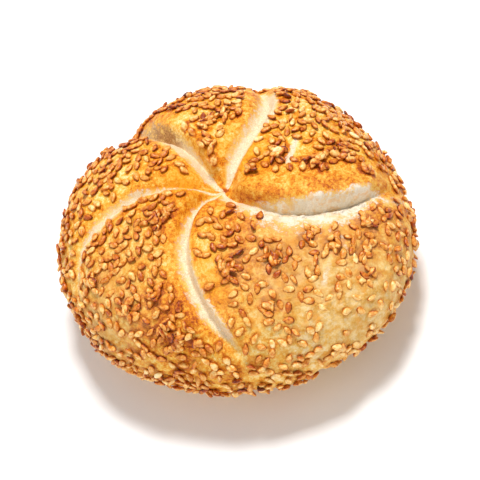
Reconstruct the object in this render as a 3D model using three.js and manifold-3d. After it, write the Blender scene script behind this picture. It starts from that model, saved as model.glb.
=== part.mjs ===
// A seeded bread roll: five puffy petals swirl out of a pinched centre, with a groove between each
// two petals, a flat foot below and seeds baked into the crust.
// Lengths are millimetres, angles are degrees where a name says so, and +Z is up.
// The origin lies on the foot, under the middle of the roll's plan.
import * as THREE from "three";
import { mergeVertices } from "three/addons/utils/BufferGeometryUtils.js";
import Module from "manifold-3d";

// Body: a rounded profile turned about the pinch, oval and unevenly spread in plan
const plainRadius = 52.9;
const plainHeight = 47.7;
const widestHeight = 21.1;
const underDepth = 26;
const topSquareness = 2.1;
const underSquareness = 2.1;
const ovalness = 1.7;
const ovalAzimuthDeg = 21.8;
const pinchX = 0;
const pinchY = 4.59;
const pinchShiftX = 2.6;
const pinchShiftY = -1.95;
const pinchDepth = 6;
const pinchRadius = 7.5;
const petalDome = 1.85;
const petalRoundness = 0.7;

// How far each petal's side stands out from the plain radius, counter-clockwise from the back one
const petalSpread = [-6, -3.7, -2.6, 6, -6.8];

// Grooves, counter-clockwise. Each runs out from the pinch at startDeg, leans leanDeg for each
// millimetre outwards, curls by curlDeg times the square of the way past curlFrom, and hooks by
// hookDeg right at the pinch. Its floor is depth below the crust and ends at the polar angle end.
// On either side, clockwise (Cw) and counter-clockwise (Ccw), the wall is run wide, a rim stands up
// beyond it and the crust is bare of seeds for a while.
const grooves = [
  {
    startDeg: 46.2, leanDeg: 0, curlDeg: 0.0124, hookDeg: -5, depth: 2.6, end: 1.15, floor: 3,
    runCw: 2.2, runCcw: 2.8, rimCw: 0.9, rimCcw: 0.3, bareCw: 4, bareCcw: 7,
    deepen: 0, widenCw: 0, widenCcw: 0,
  },
  {
    startDeg: 110.2, leanDeg: 0, curlDeg: 0.0128, hookDeg: 45, depth: 3.6, end: 1.75, floor: 1.6,
    runCw: 1.6, runCcw: 2.6, rimCw: 2, rimCcw: 0.3, bareCw: 8.5, bareCcw: 4.5,
    deepen: 0.5, widenCw: 3.5, widenCcw: 0.3,
  },
  {
    startDeg: 165.8, leanDeg: 0, curlDeg: 0.0206, hookDeg: 35, depth: 1.6, end: 1.25, floor: 2,
    runCw: 2, runCcw: 1.2, rimCw: 0.2, rimCcw: 0.6, bareCw: 3.5, bareCcw: 3.2,
    deepen: 0, widenCw: 0, widenCcw: 0,
  },
  {
    startDeg: 201.1, leanDeg: 1.18, curlDeg: 0, hookDeg: 15, depth: 2.3, end: 1.25, floor: 2.6,
    runCw: 2.4, runCcw: 1.5, rimCw: 0.3, rimCcw: 0.9, bareCw: 5.5, bareCcw: 4,
    deepen: 0, widenCw: 0, widenCcw: 0,
  },
  {
    startDeg: 284, leanDeg: 1.21, curlDeg: 0, hookDeg: -50, depth: 3.4, end: 1.12, floor: 1.4,
    runCw: 2.6, runCcw: 1.5, rimCw: -0.4, rimCcw: 3.2, bareCw: 4, bareCcw: 10.5,
    deepen: 0, widenCw: 0, widenCcw: 0,
  },
];
const curlFrom = 15;
const hookRadius = 3.2;
const rimReach = 11;
const lastSwirl = 1.3;

// Polar angles, in radians from the top, between which a form of the crust comes or goes
const grooveComes = [0.02, 0.16];
const grooveDeepens = [0.5, 1.1];
const grooveWidens = [0.55, 1.2];
const grooveFadesBefore = 0.35;
const grooveFadesBeyond = 0.12;
const domeComes = [0.05, 0.45];
const domeGoes = [0.95, 1.8];
const topSink = 0.3;
const topSinkGoes = [1.2, 2];

// Seeds: flat teardrops, the large ones here spread evenly by seeded draws
const seedLength = 3.3;
const seedWidth = 2.1;
const seedThickness = 1.3;
const seedLift = 0.25;
const seedTaper = 0.3;
const seedSides = 6;
const seedCount = 200;
const seedSpacing = 6;
const seedTries = 9000;
const firstDraw = 2026;
const bareCentre = 10.5;
const lowestSeedAngle = 2.15;
const sparseAzimuthDeg = 315;
const sparseShare = 0.45;
const sparseComes = [0.8, 1.3];
const bareNarrows = [0.8, 1.2];
const bareNarrowing = 0.5;
const bareBeyondEnd = 0.05;
const bareCentreEnd = 1;
const undersideStarts = 1.8;

// Fineness of the faceted crust
const topRows = 26;
const sideRows = 14;
const rowEvenness = 0.6;
const slopeStep = 0.001;
const seedSlopeStep = 0.01;
const columnSteps = [0, 0.03, 0.07, 0.13, 0.22, 0.36, 0.52, 0.68, 0.8, 0.89, 0.94, 0.975];

const degree = Math.PI / 180;
const fullTurn = 2 * Math.PI;
const footAngle = angleAtFoot();

/** Rises smoothly from 0 at the first limit to 1 at the second. */
function ease(from, to, value) {
  const t = Math.min(Math.max((value - from) / (to - from), 0), 1);
  return t * t * (3 - 2 * t);
}

/** Plain profile at a polar angle: share of the radius, and height. A superellipse, top and under. */
function profileAt(polar) {
  const onTop = polar <= Math.PI / 2;
  const power = onTop ? topSquareness : underSquareness;
  const reach = onTop ? plainHeight - widestHeight : underDepth;
  const along = Math.cos(polar);
  const across = Math.abs(Math.sin(polar));
  const scale = (Math.abs(along) ** power + across ** power) ** (-1 / power);
  return { share: across * scale, height: widestHeight + reach * along * scale };
}

/** Polar angle at which the plain profile reaches the foot. */
function angleAtFoot() {
  const down = widestHeight / underDepth;
  const out = (1 - down ** underSquareness) ** (1 / underSquareness);
  return Math.PI - Math.atan2(out, down);
}

/** Azimuth of a groove at a plain radius, in radians. */
function grooveAzimuth(groove, radius) {
  const past = Math.max(radius - curlFrom, 0);
  const swirl = groove.leanDeg * radius + groove.curlDeg * past * past;
  const hook = groove.hookDeg * Math.exp(-radius / hookRadius);
  return (groove.startDeg + swirl + hook) * degree;
}

/** Groove azimuths at a polar angle, and how squarely each groove meets a circle there. */
function groovesAt(polar) {
  const held = Math.min(polar, lastSwirl);
  const here = profileAt(held);
  const next = profileAt(held + slopeStep);
  const radius = here.share * plainRadius;
  const nextRadius = next.share * plainRadius;
  const way = Math.hypot(nextRadius - radius, next.height - here.height);
  return grooves.map((groove) => {
    const azimuth = grooveAzimuth(groove, radius);
    const turn = grooveAzimuth(groove, nextRadius) - azimuth;
    const slope = polar < lastSwirl ? (turn * radius) / way : 0;
    return { azimuth, square: 1 / Math.sqrt(1 + slope * slope) };
  });
}

/** Petal number plus the fraction of the way across it, counter-clockwise, at an azimuth. */
function petalCoordinate(lines, azimuth) {
  const first = lines[0].azimuth;
  const turned = azimuth - fullTurn * Math.floor((azimuth - first) / fullTurn);
  let petal = 0;
  while (petal < lines.length - 1 && turned >= lines[petal + 1].azimuth) {
    petal += 1;
  }
  const from = lines[petal].azimuth;
  const to = petal < lines.length - 1 ? lines[petal + 1].azimuth : first + fullTurn;
  return petal + (turned - from) / (to - from);
}

/** Azimuth at a petal coordinate: a straight share between the grooves on either side. */
function azimuthAt(lines, coordinate) {
  const petal = Math.floor(coordinate);
  const from = lines[petal].azimuth;
  const to = petal < lines.length - 1 ? lines[petal + 1].azimuth : lines[0].azimuth + fullTurn;
  return from + (to - from) * (coordinate - petal);
}

/** Signed distance round the roll from a groove to an azimuth, counter-clockwise positive. */
function distanceFrom(line, azimuth, radius) {
  const turn = azimuth - line.azimuth;
  return (turn - fullTurn * Math.round(turn / fullTurn)) * radius * line.square;
}

/** Cosine-weighted spread of the petals near a petal coordinate. */
function spreadAt(coordinate) {
  const count = petalSpread.length;
  return petalSpread.reduce((sum, spread, petal) => {
    const away = ((coordinate - petal - 0.5 + 1.5 * count) % count) - count / 2;
    return sum + (Math.abs(away) < 1 ? spread * (0.5 + 0.5 * Math.cos(Math.PI * away)) : 0);
  }, 0);
}

/** How much a groove lowers (or its rim lifts) the crust at a signed distance from it. */
function grooveRelief(groove, distance, polar) {
  const outwards = ease(...grooveWidens, polar);
  const ccw = distance > 0;
  const widen = 1 + (ccw ? groove.widenCcw : groove.widenCw) * outwards;
  const run = (ccw ? groove.runCcw : groove.runCw) * widen;
  const rim = (ccw ? groove.rimCcw : groove.rimCw) * (1 - Math.min(groove.deepen * 2, 1) * outwards);
  const fade = 1 - ease(groove.end - grooveFadesBefore, groove.end + grooveFadesBeyond, polar);
  const depth = groove.depth * fade * (1 + groove.deepen * ease(...grooveDeepens, polar));
  const away = Math.abs(distance);
  const cut = Math.exp(-((away / run) ** groove.floor));
  const lift = rim * fade * (1 - Math.exp(-((away / run) ** 2))) * Math.exp(-((away / rimReach) ** 2));
  return ease(...grooveComes, polar) * (lift - depth * cut);
}

/** Point of the crust at a polar angle and a petal coordinate. */
function crustPoint(polar, coordinate) {
  const lines = groovesAt(polar);
  const azimuth = azimuthAt(lines, coordinate);
  const here = profileAt(polar);
  const next = profileAt(polar + slopeStep);
  const oval = ovalness * Math.cos(2 * (azimuth - ovalAzimuthDeg * degree));
  const spread = spreadAt(coordinate) * Math.sin(polar) ** 2;
  const radius = (plainRadius + spread + oval) * here.share;

  const fraction = coordinate - Math.floor(coordinate);
  const domed = Math.sin(Math.PI * fraction) ** petalRoundness;
  let relief = petalDome * domed * ease(...domeComes, polar) * (1 - ease(...domeGoes, polar));
  relief -= petalDome * topSink * (1 - ease(...topSinkGoes, polar));
  grooves.forEach((groove, index) => {
    relief += grooveRelief(groove, distanceFrom(lines[index], azimuth, radius), polar);
  });
  relief -= pinchDepth * Math.exp(-((radius / pinchRadius) ** 2));

  const outward = (next.share - here.share) * plainRadius;
  const upward = next.height - here.height;
  const way = Math.hypot(outward, upward);
  const reach = radius - (relief * upward) / way;
  const shift = Math.cos(polar) ** 2;
  const shiftX = polar < Math.PI / 2 ? pinchShiftX : -pinchX;
  const shiftY = polar < Math.PI / 2 ? pinchShiftY : -pinchY;
  return new THREE.Vector3(
    pinchX + reach * Math.cos(azimuth) + shiftX * shift,
    pinchY + reach * Math.sin(azimuth) + shiftY * shift,
    Math.max(here.height + (relief * outward) / way, 0),
  );
}

/** Rows of polar angles, closest together over the pinch and the grooves. */
function polarRows() {
  const rows = [];
  for (let row = 1; row <= topRows; row += 1) {
    const share = row / topRows;
    rows.push(lastSwirl * (rowEvenness * share + (1 - rowEvenness) * share * share));
  }
  for (let row = 1; row <= sideRows; row += 1) {
    rows.push(lastSwirl + ((footAngle - lastSwirl) * row) / sideRows);
  }
  return rows;
}

/** Closed crust surface: a fan at the pinch, rows down to the foot, and a flat fan for the foot. */
function crustSolid(wasm) {
  const rows = polarRows();
  const columns = grooves.flatMap((groove, petal) => columnSteps.map((share) => petal + share));
  const count = columns.length;
  const positions = [];
  rows.forEach((polar) => {
    columns.forEach((coordinate) => positions.push(...crustPoint(polar, coordinate).toArray()));
  });
  const lastRow = (rows.length - 1) * count;
  for (let column = 0; column < count; column += 1) {
    positions[(lastRow + column) * 3 + 2] = 0;
  }
  const top = rows.length * count;
  positions.push(...crustPoint(slopeStep, 0).toArray());
  const bottom = top + 1;
  positions.push(0, 0, 0);
  const triangles = [];
  for (let column = 0; column < count; column += 1) {
    const beside = (column + 1) % count;
    triangles.push(top, column, beside);
    triangles.push(bottom, lastRow + beside, lastRow + column);
    for (let row = 0; row < rows.length - 1; row += 1) {
      const upper = row * count;
      const lower = upper + count;
      triangles.push(upper + column, lower + column, lower + beside);
      triangles.push(upper + column, lower + beside, upper + beside);
    }
  }
  return solidFrom(wasm, positions, triangles);
}

/** Solid from plain lists of positions and triangle corners. */
function solidFrom(wasm, positions, triangles) {
  return new wasm.Manifold(new wasm.Mesh({
    numProp: 3,
    vertProperties: new Float32Array(positions),
    triVerts: new Uint32Array(triangles),
  }));
}

/** Seeded stream of draws from 0 to 1: a 32-bit linear congruence. */
function drawsFrom(start) {
  const multiplier = 1664525;
  const increment = 1013904223;
  const range = 2 ** 32;
  let state = start;
  return () => {
    state = (Math.imul(state, multiplier) + increment) >>> 0;
    return state / range;
  };
}

/** Chance, from 0 to 1, that the crust carries a seed at a polar angle and an azimuth. */
function seedChance(polar, azimuth) {
  const lines = groovesAt(polar);
  const radius = profileAt(polar).share * plainRadius;
  if (radius < bareCentre && polar < bareCentreEnd) {
    return 0;
  }
  const outwards = 1 - bareNarrowing * ease(...bareNarrows, polar);
  for (let index = 0; index < grooves.length; index += 1) {
    const groove = grooves[index];
    const distance = distanceFrom(lines[index], azimuth, radius);
    const bare = (distance > 0 ? groove.bareCcw : groove.bareCw) * outwards;
    if (Math.abs(distance) < bare && polar < groove.end + bareBeyondEnd) {
      return 0;
    }
  }
  const flatness = (plainHeight - widestHeight) / plainRadius;
  const area = Math.hypot(Math.cos(polar), flatness * Math.sin(polar));
  const turn = azimuth - sparseAzimuthDeg * degree;
  const facing = Math.max(Math.cos(turn), 0) ** 2 * ease(...sparseComes, polar);
  const underneath = ease(undersideStarts, lowestSeedAngle, polar);
  return area * (1 - sparseShare * facing) * (1 - underneath);
}

/** Where the large seeds lie: tried at drawn places, kept by chance and by their spacing. */
function seedPlaces() {
  const draw = drawsFrom(firstDraw);
  const lowest = Math.cos(lowestSeedAngle);
  const places = [];
  for (let attempt = 0; attempt < seedTries && places.length < seedCount; attempt += 1) {
    const azimuth = fullTurn * draw();
    const polar = Math.acos(1 - (1 - lowest) * draw());
    const chance = draw();
    const turn = fullTurn * draw();
    if (chance < seedChance(polar, azimuth)) {
      const coordinate = petalCoordinate(groovesAt(polar), azimuth);
      const point = crustPoint(polar, coordinate);
      if (places.every((place) => place.point.distanceTo(point) >= seedSpacing)) {
        places.push({ point, polar, coordinate, turn });
      }
    }
  }
  return places;
}

/** Outward direction of the crust at a place, from two short steps across it. */
function outwardAt(place) {
  const down = crustPoint(place.polar + seedSlopeStep, place.coordinate).sub(place.point);
  const beside = (place.coordinate + seedSlopeStep) % grooves.length;
  const round = crustPoint(place.polar, beside).sub(place.point);
  return down.cross(round).normalize();
}

/** One seed: a flat teardrop outline lying along the crust, peaked above and rooted below. */
function seedSolid(wasm, place) {
  const outward = outwardAt(place);
  const level = new THREE.Vector3(-outward.y, outward.x, 0).normalize();
  const along = level.clone().applyAxisAngle(outward, place.turn);
  const across = new THREE.Vector3().crossVectors(outward, along);
  const positions = [];
  const put = (length, width, height) => {
    const corner = place.point.clone().addScaledVector(along, length);
    corner.addScaledVector(across, width).addScaledVector(outward, height);
    positions.push(...corner.toArray());
  };
  for (let side = 0; side < seedSides; side += 1) {
    const angle = (fullTurn * side) / seedSides;
    const taper = 1 - seedTaper * Math.cos(angle);
    put((seedLength / 2) * Math.cos(angle), (seedWidth / 2) * taper * Math.sin(angle), seedLift);
  }
  put(0, 0, seedLift + seedThickness / 2);
  put(0, 0, seedLift - seedThickness);
  const peak = seedSides;
  const root = seedSides + 1;
  const triangles = [];
  for (let side = 0; side < seedSides; side += 1) {
    const next = (side + 1) % seedSides;
    triangles.push(peak, side, next, root, next, side);
  }
  return solidFrom(wasm, positions, triangles);
}

/** Three.js geometry of a finished solid, flat-shaded. */
function geometryOf(solid) {
  const mesh = solid.getMesh();
  const geometry = new THREE.BufferGeometry();
  geometry.setAttribute("position", new THREE.BufferAttribute(mesh.vertProperties, 3));
  geometry.setIndex(new THREE.BufferAttribute(mesh.triVerts, 1));
  const welded = mergeVertices(geometry);
  welded.computeVertexNormals();
  return welded;
}

const wasm = await Module();
wasm.setup();

let solid = crustSolid(wasm);
seedPlaces().forEach((place) => {
  solid = solid.add(seedSolid(wasm, place));
});

const crust = new THREE.MeshStandardMaterial({ color: 0xd18f3f, roughness: 0.6, metalness: 0 });
crust.name = "crust";
const roll = new THREE.Mesh(geometryOf(solid), crust);
roll.name = "seeded_roll";

const object = new THREE.Group();
object.name = "bread_roll";
object.add(roll);

export default object;
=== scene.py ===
"""Looks of a seeded bread roll: a swirled golden crust, pale grooves and sesame seeds."""

import math

import bpy
import numpy as np
from mathutils import Matrix

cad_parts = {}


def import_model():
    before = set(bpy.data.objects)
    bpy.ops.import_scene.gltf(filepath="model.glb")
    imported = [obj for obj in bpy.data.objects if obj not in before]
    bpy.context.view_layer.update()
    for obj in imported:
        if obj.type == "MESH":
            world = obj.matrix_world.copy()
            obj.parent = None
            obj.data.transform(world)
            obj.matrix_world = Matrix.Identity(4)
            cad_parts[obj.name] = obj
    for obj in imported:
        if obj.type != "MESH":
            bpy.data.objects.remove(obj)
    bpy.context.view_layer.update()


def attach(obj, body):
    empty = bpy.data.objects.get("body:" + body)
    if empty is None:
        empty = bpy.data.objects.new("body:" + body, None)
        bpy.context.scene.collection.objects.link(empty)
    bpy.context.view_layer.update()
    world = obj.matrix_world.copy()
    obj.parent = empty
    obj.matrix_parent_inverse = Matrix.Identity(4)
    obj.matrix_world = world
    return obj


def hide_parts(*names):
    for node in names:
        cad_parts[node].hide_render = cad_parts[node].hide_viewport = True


MM = 0.001
DEGREE = math.pi / 180
FULL_TURN = 2 * math.pi

# Body, in millimetres: the same named sizes as the solid roll
PLAIN_RADIUS = 52.9
PLAIN_HEIGHT = 47.7
WIDEST_HEIGHT = 21.1
UNDER_DEPTH = 26
TOP_SQUARENESS = 2.1
UNDER_SQUARENESS = 2.1
OVALNESS = 1.7
OVAL_AZIMUTH = 21.8 * DEGREE
PINCH = (0, 4.59)
PINCH_SHIFT = (2.6, -1.95)
PINCH_DEPTH = 6
PINCH_RADIUS = 7.5
PETAL_DOME = 1.85
PETAL_ROUNDNESS = 0.7
PETAL_SPREAD = (-6, -3.7, -2.6, 6, -6.8)
CURL_FROM = 15
HOOK_RADIUS = 3.2
RIM_REACH = 11
LAST_SWIRL = 1.3

# Polar angles, in radians from the top, between which a form of the crust comes or goes
GROOVE_COMES = (0.02, 0.16)
GROOVE_DEEPENS = (0.5, 1.1)
GROOVE_WIDENS = (0.55, 1.2)
GROOVE_FADES_BEFORE = 0.35
GROOVE_FADES_BEYOND = 0.12
DOME_COMES = (0.05, 0.45)
DOME_GOES = (0.95, 1.8)
TOP_SINK = 0.3
TOP_SINK_GOES = (1.2, 2)
SLOPE_STEP = 0.001

# Soft waves: how many are added, and bounds of their lengths as shares of the wavelength
WAVE_COUNT = 14
WAVE_LENGTHS = (0.7, 1.5)

# Layers of small relief: height and wavelength in millimetres, and the start of their draws
LUMPS = ((0.3, 17, 3), (0.16, 6, 4), (0.07, 2.6, 5))
LUMPS_COME = (0.05, 0.2)
LUMPS_GO = (2.1, 2.35)
FIBRES = ((0.5, 1.9, 6), (0.4, 1.2, 7))
FIBRE_RISE = 0.45
LIP_PLACE = -1.3
LIP_REACH = 1.1
LIP_COMES = (0.2, 0.35)
LIP_GOES = (0.95, 1.1)

# Places in the groove list: the groove whose wall is darkened with painted shade and the one that
# is torn
PAINTED_SHADE_WALL = 1
TEAR = 4

# Polar angles at which the bands beside a groove are given a width
STATIONS = (0.18, 0.5, 0.95)

# Grooves, counter-clockwise from the back one. Each starts at an azimuth in degrees, leans
# and curls outwards, and hooks at the pinch. Its floor lies a depth below the crust and
# fades out at the polar angle end. Pairs hold the clockwise, then the counter-clockwise
# side: the wall's run, the rim beyond it, how the run widens outwards and how far the crust
# is bare of seeds. Pale holds the width of bare crumb at the stations, in millimetres,
# pallor its share there, crisp how sharply it ends, and toast the width of the browner
# band beyond it.
GROOVES = (
    dict(
        start=46.2, lean=0, curl=0.0124, hook=-5, depth=2.6, end=1.15, floor=3,
        run=(2.2, 2.8), rim=(0.9, 0.3), widen=(0, 0), deepen=0, bare=(4, 7),
        pale=((2, 4.4, 2.7), (2.4, 2.7, 2)), pallor=((1, 0.95, 0.85), (1, 0.95, 0.8)),
        crisp=(4.5, 2.2), toast=(2.5, 5),
    ),
    dict(
        start=110.2, lean=0, curl=0.0128, hook=45, depth=3.6, end=1.75, floor=1.6,
        run=(1.6, 2.6), rim=(2, 0.3), widen=(3.5, 0.3), deepen=0.5, bare=(8.5, 4.5),
        pale=((0.6, 1.7, 5.5), (3, 3.8, 2.2)), pallor=((0.7, 0.75, 0.7), (0.95, 0.9, 0.8)),
        crisp=(3, 3), toast=(7, 3),
    ),
    dict(
        start=165.8, lean=0, curl=0.0206, hook=35, depth=1.6, end=1.25, floor=2,
        run=(2, 1.2), rim=(0.2, 0.6), widen=(0, 0), deepen=0, bare=(3.5, 3.2),
        pale=((0.1, 2, 1.8), (2, 2.9, 3.2)), pallor=((0.5, 1, 1), (1, 1, 1)),
        crisp=(2, 3), toast=(2.2, 2.2),
    ),
    dict(
        start=201.1, lean=1.18, curl=0, hook=15, depth=2.3, end=1.25, floor=2.6,
        run=(2.4, 1.5), rim=(0.3, 0.9), widen=(0, 0), deepen=0, bare=(5.5, 4),
        pale=((1.1, 2.1, 1.9), (0.7, 2.4, 2.9)), pallor=((0.8, 1, 0.95), (0.8, 1, 0.95)),
        crisp=(2, 3), toast=(2.5, 3),
    ),
    dict(
        start=284, lean=1.21, curl=0, hook=-50, depth=3.4, end=1.12, floor=1.4,
        run=(2.6, 1.5), rim=(-0.4, 3.2), widen=(0, 0), deepen=0, bare=(4, 10.5),
        pale=((3.6, 7.2, 6.6), (0.2, 2.6, 3.9)), pallor=((1, 1, 1), (0.2, 1, 1)),
        crisp=(2, 3.5), toast=(2, 6),
    ),
)

# Soft patches: polar angle, azimuth in degrees, reach in millimetres and share. They are
# baked browner or paler, wheat-coloured or strongly golden, or their seeds are sunk or sparse.
# Two paler ones near the pinch, at azimuths 93 and 100 degrees, are painted light in a shaded
# fold.
BROWNER_PATCHES = (
    (0.15, 310, 9, 0.06), (0.3, 345, 9, 0.12), (0.19, 107, 9, 0.05), (0.77, 253, 7, 0.18),
    (0.5, 255, 6, 0.1), (0.3, 209, 7, 0.22), (1.03, 236, 8, 0.3), (0.8, 232, 7, 0.15),
    (0.62, 280, 12, 0.3), (0.45, 262, 9, 0.15), (1.0, 330, 16, 0.26), (1.26, 4, 14, 0.15),
    (0.3, 162, 8, 0.22), (0.5, 345, 9, 0.15), (1.3, 120, 18, 0.2), (1.5, 235, 16, 0.2),
    (0.22, 241, 5, 0.2), (1.3, 60, 20, 0.15), (0.7, 285, 12, 0.15), (1.15, 325, 14, 0.15),
    (0.65, 207, 12, 0.05), (1.0, 225, 12, 0.14), (1.15, 338, 14, 0.12), (0.72, 282, 14, 0.08),
    (0.64, 304, 4, 0.3), (0.79, 308, 4, 0.25), (1.0, 315, 4, 0.2),
)
# The patches at (0.14, 93) and (0.27, 100) paint light into a shaded fold
PALER_PATCHES = (
    (0.27, 100, 7, 0.4), (0.5, 85, 11, 0.25), (0.14, 93, 5, 0.7), (0.41, 241, 5, 0.3),
    (0.68, 171, 5, 0.15), (1.22, 292, 17, 0.34), (0.57, 308, 7, 0.2), (0.97, 243, 4, 0.3),
    (0.5, 248, 5, 0.35), (0.62, 247, 4, 0.25), (0.48, 106, 7, 0.2), (1.24, 191, 10, 0.25),
    (0.54, 25, 10, 0.28), (1.46, 309, 16, 0.25), (0.85, 285, 10, 0.16), (1.1, 325, 10, 0.15),
    (0.65, 188, 7, 0.1), (1.35, 281, 14, 0.2), (0.8, 150, 8, 0.08), (0.87, 5, 10, 0.14),
    (1.18, 345, 9, 0.2), (1.08, 202, 9, 0.12),
)
WHEAT_PATCHES = (
    (1.2, 295, 26, 0.9), (1.5, 320, 20, 0.5), (1.36, 207, 16, 0.8), (0.7, 285, 15, 0.65),
    (0.95, 212, 13, 0.5), (0.62, 200, 9, 0.3),
)
GOLDEN_PATCHES = (
    (0.22, 165, 6, 1), (0.2, 15, 7, 0.9), (0.25, 95, 5, 0.5), (0.52, 250, 4, 0.6),
    (0.7, 254, 4, 0.6), (0.3, 225, 5, 0.4),
)
SUNK_PATCHES = (
    (1.2, 295, 20, 0.9), (1.46, 320, 18, 0.7), (0.85, 285, 10, 0.5), (1.2, 190, 10, 0.5),
)
SPARSE_PATCHES = (
    (1.2, 290, 19, 0.62), (0.85, 283, 9, 0.15), (1.0, 265, 6, 0.3), (0.43, 359, 4.5, 1),
    (0.44, 300, 4, 1), (0.6, 311, 4, 1), (0.76, 320, 4, 1), (1.36, 207, 13, 0.4),
    (1.25, 226, 9, 0.3), (1.35, 306, 12, 0.5), (1.1, 212, 12, 0.3), (0.55, 250, 4, 0.9),
    (0.68, 252, 4, 0.9), (0.8, 254, 4, 0.8),
)

# Pale crumb: its narrowing at the pinch, and how it tapers and fades round a groove's end
PALE_AT_PINCH = 0.3
PALE_WIDENS = (0, 0.16)
PALE_COMES = (0.004, 0.03)
PALE_TAPERS_BEFORE = 0.4
PALE_FADES_BEFORE = 0.3
PALE_ENDS_BEYOND = 0.1
PALE_LEAST_WIDTH = 0.02
TOAST_FADES_BEFORE = 0.45
TOAST_FADING = 0.7

# Baking: the plain crust's share and what is added for each cause of more or less; the pinch's
# share is painted shade in its crease
PLAIN_BAKE = 0.37
TOAST_BAKE = 0.23
STAIN_AND_SHADE_BAKE = 0.25
PALE_BAKE = -0.3
BROWNER_BAKE = 0.6
PALER_BAKE = -0.4
UNDERSIDE_BAKE = 0.05
UNDERSIDE_COMES = (1.6, 2.2)
PINCH_SHADE_BAKE = 0.5
PINCH_SHADE_GOES = (0, 0.035)

# Darker ring round each seed, partly a brown stain and partly painted contact shade, in its
# half-sizes, and how much stronger it is in a heap, where it paints shade in the gaps between the
# seeds
STAIN_AND_SHADE_REACH = 0.35
HEAP_STAIN_AND_SHADE = 0.9

# Painted shade on that groove's wall, and the torn groove: reach in millimetres and polar angles
WALL_SHADE_REACH = 6
WALL_SHADE_COMES = (0.35, 0.55)
WALL_SHADE_EASES = (0.6, 0.85)
WALL_SHADE_EASING = 0.35
TORN_REACH = 6.5
TORN_COMES = (0.2, 0.4)
TORN_GOES = (1.05, 1.2)

# Short pale creases: polar angle and azimuth of either end, width in millimetres and share
CREASES = (
    (0.47, 10, 0.38, 350, 1, 1), (0.84, 303, 0.94, 294, 0.8, 0.6),
    (1.1, 338, 1.32, 342, 1.8, 0.6), (0.78, 318, 0.9, 309, 0.8, 0.45),
)

# Heaps of seeds: polar angle, azimuth in degrees, reach in millimetres and count
SEED_PILES = (
    (0.32, 4, 2.6, 12), (0.55, 349, 3, 12), (0.74, 355, 2.6, 10), (0.91, 346, 1.6, 5),
    (0.17, 350, 1.6, 5), (0.42, 201, 2.4, 9), (0.34, 200, 1.8, 6), (0.81, 226, 2.4, 9),
    (0.95, 198, 1.8, 6), (0.6, 260, 2.4, 11), (0.65, 305, 2.2, 8), (0.63, 282, 2.2, 8),
    (1.09, 240, 2.6, 9), (0.8, 308, 2.2, 7), (0.99, 315, 2, 6), (0.95, 324, 2, 7),
    (0.25, 88, 2.2, 8), (0.14, 91, 0.8, 3), (0.42, 90, 3.2, 12), (0.48, 70, 2.2, 7),
    (1, 235, 2.4, 9), (1.05, 130, 2.6, 9), (1.1, 40, 2.8, 9), (1.3, 80, 2.4, 8),
    (0.86, 275, 1.6, 4), (1.02, 297, 1.4, 3), (1.09, 307, 1.6, 4), (0.94, 220, 2, 6),
)

# Fineness of the crust surface
TOP_ROWS = 150
SIDE_ROWS = 76
ROW_EVENNESS = 0.75
PETAL_COLUMNS = 84
COLUMN_BUNCHING = 0.55

# Sesame seeds, in millimetres
SEED_LENGTH = 3.3
SEED_WIDTH = 2.1
SEED_THICKNESS = 1.3
SEED_LIFT = 0.25
SEED_TAPER = 0.3
SEED_BLUNTNESS = 0.3
SEED_KEEL = 0.16
SEED_CORNERS = 10
SEED_SLOPE_STEP = 0.004
SEED_CLEARANCE = 0.05

# Rings of a seed from the top down: share of its outline, height and share of the darker rim
# colour, which is partly a browner edge and partly painted shade along the edge
SEED_LEVELS = ((0.5, 0.49, 0.5), (0.84, 0.38, 0.85), (1.0, 0.06, 1.0))

# Where seeds lie: spacings in millimetres, draws and bare places
LARGE_SEEDS = 200
LARGE_SPACING = 6
LARGE_TRIES = 9000
FIRST_DRAW = 2026
SMALL_SEEDS = 1100
SMALL_SPACING = 1.95
SMALL_TRIES = 16000
SECOND_DRAW = 77
DRAW_FACTOR = 1664525
DRAW_STEP = 1013904223
DRAW_RANGE = 2**32
BARE_CENTRE = 10.5
BARE_CENTRE_END = 1
BARE_NARROWS = (0.8, 1.2)
BARE_NARROWING = 0.5
BARE_BEYOND_END = 0.05
LOWEST_SEED_ANGLE = 2.15
UNDERSIDE_STARTS = 1.8
SPARSE_AZIMUTH = 315 * DEGREE
SPARSE_SHARE = 0.45
SPARSE_COMES = (0.8, 1.3)

# How seeds lie: tilts in radians, lifts and beds in millimetres, and bounds of the draws
LAYING_DRAW = 11
LOW_SEEDS_COME = (1.15, 1.45)
ROLL_SPREAD = {"plain": 0.2, "heaped": 0.35, "low": 0.3}
PITCH_SPREAD = {"plain": 0.12, "heaped": 0.25, "low": 0.22}
ON_EDGE_SHARE = 0.1
ON_EDGE_TILT = 1.1
LOOSE_LIFT = 0.3
LARGE_SIZE = 1.08
SMALL_SIZE_DRAWS = (0.94, 1.12)
WIDTH_DRAWS = (0.8, 1.0)
LIFT_DRAWS = (0.14, 0.12)
HEAP_LIFTS = (0.2, 1.15)
HEAP_SPREAD = 1 / 1.6
SINKING = 0.5
SINK_DRAWS = (0.3, 1)
PLAIN_BED = 0.16
SUNK_BED = 0.2
BED_GAP = 1.35
BED_REACH = 0.4

# Tone of the seeds, from 0 pale to 1 dark; an odd seed's chance bound comes before its tone
PLAIN_TONE = 0.565
SIDE_TONE = -0.11
SIDE_COMES = (0.7, 1.35)
# Painted light: the lowest seeds are made paler where the body shades them
PAINTED_LIGHT_LOW_TONE = -0.04
PAINTED_LIGHT_LOW_COMES = (1.35, 1.6)
TONE_SPREAD = 0.09
BROWNER_TONE = 0.14
PALER_TONE = -0.15
# Painted shade and light in heaps: seeds low in a heap are darker, those on top paler
HEAP_SHADE_TONE = 0.015
HEAP_TOP_LIGHT_TONE = -0.1
TONE_RANGE = (0.28, 0.72)
ODD_PALE = (0.007, 0.14)
ODD_DARK = (0.99, 0.82)

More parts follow.
